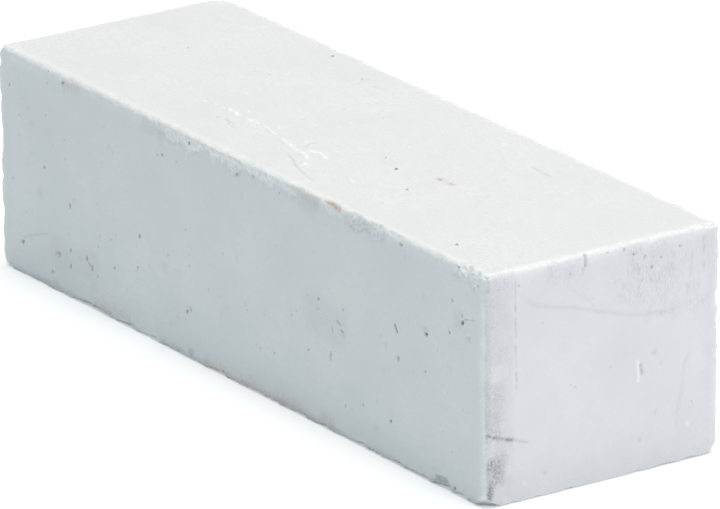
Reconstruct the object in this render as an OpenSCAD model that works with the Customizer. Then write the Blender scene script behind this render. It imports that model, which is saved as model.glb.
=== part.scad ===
// Gymnastics chalk block: one pressed bar of white chalk, with nothing inside it and nothing that moves.
// X runs along the bar, Y across it and Z up. The origin is the middle of the underside.
// Places on a face are shares of the bar: -0.5 to 0.5 along X and Y, and 0 to 1 up Z.

/* [Bar] */
// Length of the bar, along X
bar_l = 182; // [140:1:240]
// Width of the bar, along Y
bar_w = 58; // [46:1:80]
// Height of the bar, along Z
bar_h = 50; // [40:1:70]

/* [Edges] */
// Radius of the edges round the top face
top_r = 1.4; // [0.6:0.1:2.4]
// Radius of the edges round the underside
base_r = 1.8; // [0.6:0.1:2.4]
// Radius of the upright edges
upright_r = 2; // [1:0.5:4]
// Radius of the upright edge that is worn most
worn_upright_r = 7; // [5:1:12]
// Radius of the underside's worn end, where the bar has been knocked
worn_base_r = 5; // [3:1:8]

/* [Chips] */
// Spacing of the chips along an edge
chip_pitch = 14; // [12:1:25]
// Depth of the deepest chip
chip_depth = 0.8; // [0.3:0.1:1]
// Radius of the scoop that shapes a chip
chip_r = 5; // [4:0.5:6]

/* [Pits] */
// Width of the widest air pit
pit_w = 1.8; // [0.8:0.1:2.4]
// Width of the cracks in the end face
crack_w = 0.6; // [0.3:0.1:1]

/* [Hidden] */
$fn = 48;
overrun = 1;
long_edge_seeds = [11, 23, 37, 41];
end_edge_seeds = [53, 67];
// Air pits: place on the face in two shares, then the pit's width as a share of pit_w.
front_pits = [
    [-0.46, 0.63, 0.6], [-0.45, 0.15, 0.8], [-0.37, 0.18, 0.9], [-0.36, 0.72, 0.4], [-0.35, 0.42, 0.6],
    [-0.34, 0.24, 0.8], [-0.31, 0.18, 0.6], [-0.25, 0.24, 0.5], [-0.20, 0.44, 0.8], [-0.20, 0.30, 0.7],
    [-0.15, 0.85, 0.5], [-0.12, 0.86, 0.4], [-0.10, 0.22, 0.7], [-0.09, 0.96, 0.6], [-0.05, 0.51, 0.5],
    [-0.03, 0.34, 0.5], [0.17, 0.48, 0.6], [0.21, 0.51, 0.9], [0.26, 0.19, 0.5], [0.32, 0.19, 0.7],
    [0.33, 0.46, 1.0], [0.38, 0.63, 0.9], [0.43, 0.18, 0.5], [0.435, 0.70, 0.7], [0.455, 0.78, 1.0]
];
top_pits = [
    [-0.36, 0.05, 0.5], [-0.23, 0.42, 0.6], [-0.14, -0.30, 0.6], [-0.14, 0.36, 0.4], [0.14, -0.10, 0.9],
    [0.20, -0.04, 0.8], [0.21, -0.20, 0.6], [0.23, -0.35, 0.5], [0.39, -0.39, 0.7]
];
end_pits = [
    [-0.12, 0.44, 0.4], [0.16, 0.70, 0.5], [0.22, 0.22, 0.7], [0.25, 0.50, 0.6], [0.26, 0.86, 0.7],
    [0.40, 0.13, 0.7]
];
// Cracks in the end face: both ends, in shares across and up.
end_cracks = [
    [[0.15, 0.37], [0.15, 0.52]],
    [[-0.49, 0.31], [-0.33, 0.25]],
    [[-0.08, 0.91], [-0.08, 0.97]]
];

// What lies outside a rounded corner of a square, with the corner at the origin.
module corner_waste(r) {
    difference() {
        translate([-overrun, -overrun]) square(r + overrun);
        translate([r, r]) circle(r);
    }
}

// A rectangle from the origin, with the radii of its corners anticlockwise from the origin.
module rounded_rectangle(size, radii) {
    difference() {
        square(size);
        corner_waste(radii[0]);
        translate([size.x, 0]) rotate(90) corner_waste(radii[1]);
        translate(size) rotate(180) corner_waste(radii[2]);
        translate([0, size.y]) rotate(270) corner_waste(radii[3]);
    }
}

// The bar before it was chipped: what its plan, its side view and its end view have in common.
module bar_stock() {
    intersection() {
        translate([-bar_l / 2, -bar_w / 2, -overrun])
            linear_extrude(bar_h + 2 * overrun)
                rounded_rectangle([bar_l, bar_w], [upright_r, upright_r, upright_r, worn_upright_r]);
        translate([-bar_l / 2, bar_w / 2 + overrun, 0]) rotate([90, 0, 0])
            linear_extrude(bar_w + 2 * overrun)
                rounded_rectangle([bar_l, bar_h], [worn_base_r, base_r, top_r, top_r]);
        translate([-bar_l / 2 - overrun, -bar_w / 2, 0]) rotate([90, 0, 90])
            linear_extrude(bar_l + 2 * overrun)
                rounded_rectangle([bar_w, bar_h], [base_r, base_r, top_r, top_r]);
    }
}

// Scoops along an edge that lies on X, for an edge whose corner points to +Y and +Z.
// edge_r is the edge's own radius, and the seed settles each chip's place and depth.
module chips(length, edge_r, seed) {
    count = floor(length / chip_pitch) - 1;
    drift = rands(-0.12, 0.12, count, seed);
    share = rands(0.25, 1, count, seed + 1);
    for (i = [0 : count - 1]) {
        depth = chip_depth * share[i] + edge_r * (sqrt(2) - 1);
        reach = (chip_r - depth) / sqrt(2);
        translate([(i - (count - 1) / 2 + drift[i]) * chip_pitch, reach, reach]) sphere(chip_r);
    }
}

// The chips of the four long edges and of the two upright edges at the square end.
module edge_chips() {
    for (side = [0, 1]) {
        mirror([0, side, 0]) {
            translate([0, bar_w / 2, bar_h]) chips(bar_l, top_r, long_edge_seeds[side]);
            translate([0, bar_w / 2, 0]) rotate([-90, 0, 0]) chips(bar_l, base_r, long_edge_seeds[side + 2]);
            translate([bar_l / 2, bar_w / 2, bar_h / 2]) rotate([0, -90, -90])
                chips(bar_h, upright_r, end_edge_seeds[side]);
        }
    }
}

// Air pits in the -Y side, the top and the +X end.
module air_pits() {
    for (pit = front_pits) translate([pit[0] * bar_l, -bar_w / 2, pit[1] * bar_h]) sphere(pit[2] * pit_w / 2);
    for (pit = top_pits) translate([pit[0] * bar_l, pit[1] * bar_w, bar_h]) sphere(pit[2] * pit_w / 2);
    for (pit = end_pits) translate([bar_l / 2, pit[0] * bar_w, pit[1] * bar_h]) sphere(pit[2] * pit_w / 2);
}

// A straight crack in the +X end, half sunk in the face.
module crack(from, to) {
    across = (to.x - from.x) * bar_w;
    up = (to.y - from.y) * bar_h;
    translate([bar_l / 2, from.x * bar_w, from.y * bar_h]) rotate([-atan2(across, up), 0, 0])
        cylinder(h = norm([across, up]), d = crack_w);
}

module chalk_block() {
    color("whitesmoke") difference() {
        bar_stock();
        edge_chips();
        air_pits();
        for (ends = end_cracks) crack(ends[0], ends[1]);
    }
}

chalk_block();
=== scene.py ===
import math
from collections import namedtuple

import bpy
import numpy as np
from mathutils import Matrix, Vector, noise
from mathutils.geometry import delaunay_2d_cdt


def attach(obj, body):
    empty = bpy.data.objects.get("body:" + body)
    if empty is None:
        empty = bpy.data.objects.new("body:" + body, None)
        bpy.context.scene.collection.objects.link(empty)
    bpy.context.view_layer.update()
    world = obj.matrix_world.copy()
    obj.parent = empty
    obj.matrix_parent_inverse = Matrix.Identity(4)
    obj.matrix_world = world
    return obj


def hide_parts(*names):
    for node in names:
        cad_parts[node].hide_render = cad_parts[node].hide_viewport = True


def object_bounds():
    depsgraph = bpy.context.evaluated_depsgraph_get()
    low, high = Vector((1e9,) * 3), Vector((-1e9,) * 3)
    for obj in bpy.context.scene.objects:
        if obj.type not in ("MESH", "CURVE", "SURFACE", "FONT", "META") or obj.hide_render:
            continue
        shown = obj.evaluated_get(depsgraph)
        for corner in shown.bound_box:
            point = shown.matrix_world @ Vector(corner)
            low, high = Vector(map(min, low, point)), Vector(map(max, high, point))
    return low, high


# A gymnastics chalk block: one pressed bar of white chalk, worn and chipped, in a pale studio.
#
# Lengths are in millimetres, and become metres where a mesh, a lamp or the camera is made. The shaping works
# on a bar centred on the origin. A place on a side is given in shares of the bar: -0.5 to 0.5 along X and Y,
# and 0 to 1 up Z.

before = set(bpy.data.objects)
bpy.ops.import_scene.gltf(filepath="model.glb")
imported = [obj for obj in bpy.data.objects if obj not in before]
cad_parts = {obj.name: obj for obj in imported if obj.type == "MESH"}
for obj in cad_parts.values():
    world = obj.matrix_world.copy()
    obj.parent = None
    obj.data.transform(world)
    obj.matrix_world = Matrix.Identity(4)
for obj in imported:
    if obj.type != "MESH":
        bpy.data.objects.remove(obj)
cad_low, cad_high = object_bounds()

MM = 0.001
X, Y, Z = range(3)
SIZE = np.array(cad_high - cad_low) / MM
HALF = SIZE / 2
CENTRE = np.array(cad_high + cad_low) / 2 / MM

# ---- What the bar looks like: its sides, edges and marks ----

# A side of the bar: the axis it faces along, which way, and the axes that run across it and up it.
Side = namedtuple("Side", "axis sign across up")
SIDES = {
    "front": Side(Y, -1, X, Z),
    "back": Side(Y, 1, X, Z),
    "top": Side(Z, 1, X, Y),
    "base": Side(Z, -1, X, Y),
    "end": Side(X, 1, Y, Z),
    "far_end": Side(X, -1, Y, Z),
}

# An edge, by the sides that meet there: its radius, how crumbly and how wavy it is, and its chips' spacing,
# half length, depth and tilt. A tilt of 0 degrees cuts only the first side, and one of 90 only the second.
Edge = namedtuple("Edge", "sides radius rough wavy pitch reach depth tilt")
EDGES = [
    Edge(("front", "top"), 1.5, 0.06, 0.06, 14.0, 2.4, 0.20, 45),
    Edge(("front", "base"), 0.5, 0.10, 0.16, 4.0, 1.9, 0.60, 40),
    Edge(("front", "end"), 1.6, 0.05, 0.04, 12.0, 1.6, 0.20, 45),
    Edge(("front", "far_end"), 0.6, 0.10, 0.50, 9.0, 2.6, 0.40, 45),
    Edge(("back", "top"), 0.6, 0.42, 0.14, 3.5, 1.5, 0.45, 45),
    Edge(("back", "base"), 1.1, 0.18, 0.20, 5.0, 3.5, 0.60, 60),
    Edge(("back", "end"), 0.6, 0.10, 0.16, 8.0, 1.8, 0.30, 45),
    Edge(("back", "far_end"), 6.5, 0.15, 0.20, 9.0, 3.5, 0.50, 45),
    Edge(("top", "end"), 1.4, 0.05, 0.05, 10.0, 1.8, 0.20, 45),
    Edge(("top", "far_end"), 0.6, 0.05, 0.06, 14.0, 2.5, 0.25, 45),
    Edge(("base", "end"), 0.5, 0.06, 0.08, 7.0, 3.0, 0.35, 40),
    Edge(("base", "far_end"), 4.0, 0.15, 0.22, 7.0, 3.0, 0.60, 40),
]

# How far along its edges each corner is worn away.
CORNERS = {
    ("front", "top", "end"): 2.4,
    ("back", "top", "end"): 2.0,
    ("front", "base", "end"): 4.6,
    ("back", "base", "end"): 2.8,
    ("front", "top", "far_end"): 2.4,
    ("back", "top", "far_end"): 2.6,
    ("front", "base", "far_end"): 2.0,
    ("back", "base", "far_end"): 5.0,
}

# A chip: its edge's sides, its place along that edge as a share, its half length, its depth, its tilt, its
# lean, which moves its deepest point from its middle (0) towards one end (-1 or 1), and how crumbly its face
# is, from 0 to 1. These are the ones that are out of the ordinary.
Chip = namedtuple("Chip", "sides along reach depth tilt lean crumbly")
FOOT = ("front", "base")    # the front's lower long edge
BROW = ("front", "top")     # and its upper one
KNOWN_CHIPS = [
    # The foot of the front.
    Chip(FOOT, 0.411, 3.8, 1.2, 48, 0.85, 0.8),
    Chip(FOOT, 0.448, 2.6, 0.9, 60, 0.4, 1.0),
    Chip(FOOT, 0.365, 5.0, 0.6, 42, 0.8, 0.2),
    Chip(FOOT, 0.315, 4.5, 0.6, 42, 0.7, 0.2),
    Chip(FOOT, 0.24, 4.5, 0.8, 42, 0.8, 0.2),
    Chip(FOOT, 0.12, 4.5, 0.7, 42, 0.8, 0.2),
    Chip(FOOT, 0.03, 5.0, 0.7, 42, 0.8, 0.2),
    Chip(FOOT, -0.045, 4.5, 1.0, 45, 0.8, 0.5),
    Chip(FOOT, -0.19, 5.0, 0.8, 42, 0.7, 0.2),
    Chip(FOOT, -0.24, 4.5, 0.8, 42, 0.7, 0.2),
    Chip(FOOT, -0.29, 5.0, 0.9, 42, -0.5, 0.2),
    Chip(FOOT, -0.33, 5.0, 0.9, 42, 0.6, 0.2),
    # The crumbled part of the front's top edge.
    Chip(BROW, 0.195, 4.0, 0.30, 30, 0.2, 0.4),
    Chip(BROW, 0.245, 4.5, 0.45, 30, -0.2, 0.9),
    Chip(BROW, 0.285, 4.0, 0.40, 30, 0.2, 0.9),
    Chip(BROW, 0.33, 3.0, 0.25, 35, 0.0, 0.5),
    Chip(BROW, -0.35, 3.0, 0.25, 35, 0.2, 0.4),
    # The corner by the end.
    Chip(BROW, 0.455, 2.6, 0.9, 45, 0.3, 0.8),
    Chip(BROW, 0.480, 1.6, 0.6, 35, -0.4, 0.8),
    # The end's far upright edge.
    Chip(("back", "end"), 0.18, 2.0, 0.6, 45, 0.0, 0.6),
]

# An air pit: its side, its place there in shares, its width and height, and how dark it is, from 0 to 1. Its
# darkness stands for dirt and painted shade in its hollow.
Pit = namedtuple("Pit", "side across up width height shade")
KNOWN_PITS = [
    # Dark holes in the front.
    Pit("front", 0.455, 0.76, 1.0, 1.2, 0.9),
    Pit("front", 0.385, 0.635, 0.8, 0.8, 0.9),
    Pit("front", 0.43, 0.69, 0.7, 0.7, 0.8),
    Pit("front", 0.33, 0.47, 0.9, 1.4, 0.42),
    Pit("front", 0.315, 0.18, 0.8, 0.8, 0.8),
    Pit("front", -0.10, 0.21, 0.6, 0.8, 0.7),
    Pit("front", -0.092, 0.225, 0.5, 0.6, 0.6),
    Pit("front", -0.20, 0.44, 0.8, 1.0, 0.7),
    Pit("front", -0.095, 0.966, 0.7, 1.0, 0.9),
    Pit("front", -0.205, 0.295, 0.7, 0.6, 0.6),
    Pit("front", -0.35, 0.42, 0.5, 1.5, 0.6),
    Pit("front", -0.15, 0.857, 0.6, 0.6, 0.7),
    Pit("front", 0.15, 0.31, 0.6, 0.6, 0.6),
    Pit("front", 0.17, 0.555, 0.6, 0.6, 0.5),
    Pit("front", -0.48, 0.84, 0.6, 0.6, 0.6),
    Pit("front", -0.395, 0.985, 0.5, 0.6, 0.5),
    Pit("front", -0.362, 0.965, 1.0, 0.7, 0.5),
    Pit("front", 0.335, 0.968, 1.2, 0.6, 0.5),
    Pit("front", 0.445, 0.99, 1.0, 0.8, 0.4),
    Pit("front", 0.485, 0.95, 0.6, 0.7, 0.35),
    # Fainter ones, singly and in clusters.
    Pit("front", -0.46, 0.63, 0.5, 0.6, 0.35),
    Pit("front", -0.40, 0.78, 0.5, 0.5, 0.35),
    Pit("front", -0.36, 0.71, 0.5, 0.5, 0.35),
    Pit("front", -0.455, 0.15, 1.3, 1.0, 0.48),
    Pit("front", -0.475, 0.42, 0.9, 0.9, 0.25),
    Pit("front", -0.405, 0.54, 1.0, 1.0, 0.30),
    Pit("front", -0.375, 0.175, 0.8, 1.6, 0.55),
    Pit("front", -0.35, 0.22, 0.8, 1.1, 0.55),
    Pit("front", -0.35, 0.15, 0.8, 1.2, 0.50),
    Pit("front", -0.315, 0.22, 0.9, 1.1, 0.40),
    Pit("front", -0.303, 0.19, 0.7, 1.5, 0.50),
    Pit("front", -0.39, 0.08, 0.9, 0.9, 0.40),
    Pit("front", 0.44, 0.025, 0.8, 1.0, 0.60),
    Pit("front", -0.29, 0.30, 0.5, 0.5, 0.35),
    Pit("front", -0.255, 0.24, 0.6, 0.6, 0.45),
    Pit("front", -0.14, 0.42, 0.6, 0.6, 0.35),
    Pit("front", -0.12, 0.855, 0.5, 0.5, 0.35),
    Pit("front", -0.095, 0.47, 0.5, 0.5, 0.30),
    Pit("front", -0.095, 0.42, 0.5, 0.6, 0.35),
    Pit("front", -0.055, 0.355, 0.5, 0.5, 0.35),
    Pit("front", -0.03, 0.35, 0.6, 0.5, 0.30),
    Pit("front", -0.025, 0.545, 0.5, 0.5, 0.40),
    Pit("front", 0.005, 0.93, 0.6, 0.6, 0.45),
    Pit("front", 0.025, 0.35, 0.5, 0.5, 0.35),
    Pit("front", 0.08, 0.22, 0.5, 0.5, 0.35),
    Pit("front", 0.125, 0.455, 0.5, 0.5, 0.35),
    Pit("front", 0.195, 0.335, 0.7, 2.4, 0.40),
    Pit("front", 0.22, 0.56, 0.5, 0.5, 0.50),
    Pit("front", 0.225, 0.145, 0.6, 0.6, 0.40),
    Pit("front", 0.26, 0.19, 0.6, 0.6, 0.40),
    Pit("front", 0.435, 0.835, 0.8, 0.8, 0.35),
    Pit("front", 0.467, 0.705, 1.8, 1.8, 0.12),
    Pit("front", 0.435, 0.43, 0.5, 0.5, 0.35),
    Pit("front", 0.435, 0.18, 0.5, 0.5, 0.45),
    # The top.
    Pit("top", 0.20, -0.04, 1.7, 0.8, 0.7),
    Pit("top", 0.22, -0.035, 2.0, 0.5, 0.35),
    Pit("top", 0.24, 0.15, 0.8, 0.7, 0.2),
    Pit("top", -0.07, 0.125, 0.7, 0.8, 0.35),
    Pit("top", -0.02, -0.215, 0.7, 0.9, 0.30),
    Pit("top", -0.13, -0.303, 0.9, 0.8, 0.45),
    # Specks along the end's top edge, and soft dimples lower down.
    Pit("end", 0.02, 0.985, 0.8, 0.6, 0.35),
    Pit("end", 0.09, 0.98, 0.6, 0.8, 0.40),
    Pit("end", 0.13, 0.95, 0.7, 0.7, 0.40),
    Pit("end", 0.18, 0.93, 0.6, 0.9, 0.35),
    Pit("end", 0.21, 0.88, 0.8, 0.9, 0.35),
    Pit("end", 0.25, 0.91, 0.6, 0.7, 0.30),
    Pit("end", 0.33, 0.94, 0.6, 0.6, 0.35),
    Pit("end", -0.14, 0.93, 0.7, 0.8, 0.25),
    Pit("end", -0.36, 0.93, 0.6, 0.7, 0.25),
    Pit("end", 0.22, 0.51, 1.8, 1.6, 0.12),
    Pit("end", 0.25, 0.455, 1.2, 1.2, 0.08),
    Pit("end", -0.12, 0.44, 0.8, 0.8, 0.15),
    Pit("end", 0.16, 0.14, 1.2, 1.4, 0.12),
    Pit("end", -0.25, 0.10, 1.2, 1.0, 0.10),
    Pit("end", 0.23, 0.25, 1.0, 1.0, 0.10),
]

# Dark grains that stand out of the top, given as the pits are.
GRAINS = [
    Pit("top", 0.145, -0.105, 0.9, 0.9, 1.0),
    Pit("top", 0.21, -0.20, 0.7, 0.7, 0.9),
    Pit("top", 0.395, -0.39, 0.9, 0.7, 0.9),
    Pit("top", -0.235, 0.43, 0.8, 0.8, 0.9),
    Pit("top", 0.105, -0.065, 0.6, 0.6, 0.7),
    Pit("top", 0.23, -0.35, 0.5, 0.5, 0.4),
    Pit("top", -0.36, 0.05, 0.6, 0.6, 0.7),
    Pit("top", -0.145, 0.37, 0.7, 0.7, 0.5),
]

# More pits are scattered over the sides: how many, how wide the middling one is, and how dark.
Scatter = namedtuple("Scatter", "side count width shade")
SCATTERED_PITS = [
    Scatter("front", 60, 0.42, 0.28),
    Scatter("front", 45, 1.20, 0.07),
    Scatter("back", 80, 0.60, 0.40),
    Scatter("top", 26, 0.40, 0.25),
    Scatter("base", 60, 0.70, 0.50),
    Scatter("end", 14, 0.45, 0.12),
    Scatter("far_end", 26, 0.55, 0.35),
]

# A stroke is a narrow mark along a path of shares: its side, its path, its width, how deep it cuts (or how
# high it stands, where that is negative), what it carries and how much, and how patchy it is, from 0 to 1.
Stroke = namedtuple("Stroke", "side path width cut kind strength patchy")
CREASES = [
    [(-0.145, -0.220), (-0.120, -0.230)],
    [(-0.107, -0.222), (-0.094, -0.225)],
    [(-0.091, -0.222), (-0.080, -0.227)],
    [(-0.030, -0.245), (0.000, -0.265), (0.020, -0.280), (0.040, -0.283), (0.060, -0.310)],
    [(0.064, -0.335), (0.072, -0.347)],
    [(0.030, -0.250), (0.050, -0.232), (0.070, -0.247)],
]
FAINT_CREASES = [
    [(-0.200, -0.250), (-0.185, -0.235)],
    [(-0.175, -0.225), (-0.165, -0.230)],
    [(-0.160, -0.237), (-0.150, -0.225)],
    [(-0.188, -0.060), (-0.178, -0.070)],
    [(-0.078, -0.216), (-0.055, -0.232), (-0.040, -0.243)],
    [(-0.130, -0.175), (-0.122, -0.178)],
    [(-0.060, -0.190), (-0.052, -0.195)],
    [(0.000, -0.190), (0.006, -0.197)],
    [(0.140, -0.300), (0.150, -0.305)],
]
SCRATCHES = [
    [(0.020, -0.245), (0.012, -0.200), (0.012, -0.165)],
    [(0.050, -0.360), (0.090, -0.395), (0.125, -0.420)],
    [(0.020, -0.320), (0.045, -0.345), (0.060, -0.360)],
    [(-0.122, -0.290), (-0.093, -0.300)],
    [(-0.105, -0.310), (-0.080, -0.320)],
    [(-0.068, -0.045), (-0.066, -0.080)],
    [(-0.145, 0.40), (-0.135, 0.31)],
    [(-0.120, 0.36), (-0.100, 0.37)],
    [(0.22, 0.31), (0.27, 0.30)],
    [(-0.25, 0.10), (-0.22, 0.13)],
]
TALLIES = [
    [(0.197, 0.475), (0.200, 0.440)],
    [(0.205, 0.505), (0.216, 0.490), (0.223, 0.495)],
    [(0.212, 0.475), (0.222, 0.460)],
    [(0.215, 0.450), (0.225, 0.445)],
    [(-0.385, 0.190), (-0.375, 0.160)],
    [(-0.345, 0.170), (-0.330, 0.145)],
    [(-0.315, 0.215), (-0.305, 0.190)],
]
CURL = [(0.163, 0.490), (0.168, 0.515), (0.177, 0.510), (0.179, 0.485), (0.170, 0.470)]
LONG_SWEEP = [
    (-0.37, 0.89), (-0.29, 0.83), (-0.20, 0.80), (-0.12, 0.78), (-0.03, 0.745),
    (0.07, 0.71), (0.14, 0.685), (0.22, 0.675), (0.28, 0.67), (0.36, 0.68),
]
SIDE_SWEEP = [(0.385, 0.475), (0.355, 0.43), (0.34, 0.305), (0.325, 0.23), (0.32, 0.11)]
STROKES = [
    # The raised crease that wanders over the top in short bright lengths, lightened as a painted highlight,
    # and the fine scratches beside it.
    *(Stroke("top", path, 1.3, -0.40, "pale_gloss_and_highlight", 1.0, 0.5) for path in CREASES),
    *(Stroke("top", path, 0.8, -0.20, "pale_gloss_and_highlight", 0.55, 0.7) for path in FAINT_CREASES),
    *(Stroke("top", path, 0.6, 0.15, "dirt_and_painted_shade", 0.32, 0.6) for path in SCRATCHES),
    # The crack, the notch and the short ridge in the end. The ridge is lightened as a painted highlight, and
    # the dark stroke beside it is painted shadow.
    Stroke("end", [(-0.54, 0.335), (-0.45, 0.30), (-0.37, 0.27)], 1.1, 0.30, "dirt_and_painted_shade", 0.85, 0.3),
    Stroke("end", [(-0.42, 0.29), (-0.31, 0.245)], 0.7, 0.12, "dirt_and_painted_shade", 0.40, 0.5),
    Stroke("end", [(0.145, 0.50), (0.15, 0.39)], 0.9, -0.40, "pale_gloss_and_highlight", 0.9, 0.2),
    # Painted shadow just beside the ridge.
    Stroke("end", [(0.163, 0.475), (0.17, 0.42)], 0.9, 0.25, "dirt_and_painted_shade", 0.5, 0.4),
    Stroke("end", [(-0.076, 1.02), (-0.076, 0.94)], 0.6, 0.60, "dirt_and_painted_shade", 0.45, 0.1),
    Stroke("end", [(-0.088, 0.95), (-0.088, 0.91)], 0.5, 0.10, "dirt_and_painted_shade", 0.25, 0.3),
    # The powdery upright edge.
    Stroke("front", [(0.495, 0.02), (0.495, 0.98)], 1.8, -0.03, "pale_gloss_and_highlight", 0.25, 0.5),
    Stroke("end", [(-0.475, 0.36), (-0.48, 0.90)], 0.8, -0.05, "pale_gloss_and_highlight", 0.25, 1.0),
    # Faint lines where the end was drawn over something.
    Stroke("end", LONG_SWEEP, 1.1, 0.03, "dirt_and_painted_shade", 0.17, 0.2),
    Stroke("end", [(-0.165, 0.89), (-0.055, 0.795), (-0.03, 0.75)], 0.9, 0.02, "dirt_and_painted_shade", 0.10, 0.3),
    Stroke("end", SIDE_SWEEP, 1.0, 0.03, "dirt_and_painted_shade", 0.16, 0.3),
    Stroke("end", [(-0.374, 0.98), (-0.374, 0.75), (-0.368, 0.45)], 0.6, 0.04, "dirt_and_painted_shade", 0.38, 1.0),
    Stroke("end", [(0.39, 0.92), (0.375, 0.80), (0.36, 0.70)], 0.9, 0.03, "dirt_and_painted_shade", 0.20, 0.8),
    Stroke("end", [(0.435, 0.97), (0.435, 0.80)], 0.7, 0.03, "dirt_and_painted_shade", 0.25, 0.8),
    # Pale scabs on the end.
    Stroke("end", [(0.365, 0.17), (0.378, 0.15)], 1.1, -0.12, "pale_gloss_and_highlight", 0.45, 0.2),
    Stroke("end", [(-0.335, 0.09), (-0.33, 0.06)], 1.0, -0.12, "pale_gloss_and_highlight", 0.35, 0.2),
    # A slanting slit, darkened with dirt and painted shade as the pits are, and some hairlines in the front.
    Stroke("front", [(0.322, 0.615), (0.329, 0.575)], 0.6, 0.30, "pit", 0.7, 0.1),
    Stroke("front", [(0.456, 0.775), (0.468, 0.785), (0.483, 0.797)], 0.5, 0.10, "dirt_and_painted_shade", 0.32, 0.5),
    Stroke("front", [(-0.46, 0.16), (-0.435, 0.20), (-0.395, 0.25)], 0.6, 0.06, "dirt_and_painted_shade", 0.22, 0.6),
    Stroke("front", [(-0.45, 0.74), (-0.46, 0.92)], 0.5, 0.03, "dirt_and_painted_shade", 0.15, 0.8),
    # Small ragged scratches, in two groups.
    Stroke("front", CURL, 0.5, 0.05, "dirt_and_painted_shade", 0.40, 0.9),
    *(Stroke("front", path, 0.6, 0.15, "dirt_and_painted_shade", 0.65, 0.8) for path in TALLIES),
    # Flecks of orange-brown under the front top edge.
    Stroke("front", [(0.180, 1.005), (0.195, 0.995)], 1.4, 0.15, "rust", 1.0, 0.5),
    Stroke("front", [(0.190, 1.000), (0.215, 0.990)], 1.6, 0.20, "rust", 1.0, 0.3),
    Stroke("top", [(0.184, -0.492), (0.203, -0.495)], 1.3, 0.10, "rust", 0.9, 0.6),
]

# A scar is a shallow flake lost from a side: its side, its place, its half width and half height, its depth,
# and how crumbly its floor is, from 0 to 1.
Scar = namedtuple("Scar", "side across up half_width half_height depth crumbly")
SCARS = [
    Scar("front", -0.160, 0.985, 4.0, 1.7, 0.25, 0.4),
    Scar("front", -0.128, 0.970, 5.5, 2.3, 0.34, 0.4),
    Scar("front", -0.088, 0.970, 5.0, 2.4, 0.32, 0.4),
    Scar("front", -0.040, 0.985, 5.0, 1.8, 0.25, 0.4),
    Scar("front", 0.000, 0.970, 3.4, 2.4, 0.32, 0.4),
    Scar("front", 0.035, 0.985, 4.5, 1.9, 0.26, 0.4),
    Scar("front", 0.068, 0.980, 4.5, 2.2, 0.32, 0.4),
    Scar("front", 0.113, 0.980, 5.5, 2.1, 0.28, 0.4),
    Scar("front", 0.155, 0.990, 3.5, 1.5, 0.24, 0.4),
    Scar("front", 0.200, 0.980, 3.5, 1.8, 0.28, 0.4),
    Scar("front", 0.245, 0.975, 4.0, 2.0, 0.40, 0.9),
    Scar("front", 0.285, 0.970, 3.4, 1.9, 0.38, 0.9),
    Scar("front", 0.447, 0.975, 2.2, 1.4, 0.40, 0.6),
    Scar("front", 0.475, 0.960, 1.8, 1.8, 0.35, 0.6),
    Scar("front", -0.36, 0.985, 2.5, 1.2, 0.25, 0.4),
    Scar("front", 0.416, 0.040, 2.0, 1.1, 0.45, 0.4),
    Scar("back", -0.32, 0.96, 7.0, 2.8, 0.50, 0.6),
    Scar("back", 0.12, 0.95, 5.0, 2.4, 0.40, 0.6),
    Scar("back", 0.30, 0.05, 6.0, 2.6, 0.50, 0.6),
    Scar("far_end", 0.05, 0.96, 5.0, 2.4, 0.45, 0.6),
]

# A smear is a soft-edged patch: what it carries, its side, two opposite corners in shares, how softly it
# fades in millimetres, and its strength.
Smear = namedtuple("Smear", "kind side low high soft strength")
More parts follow.
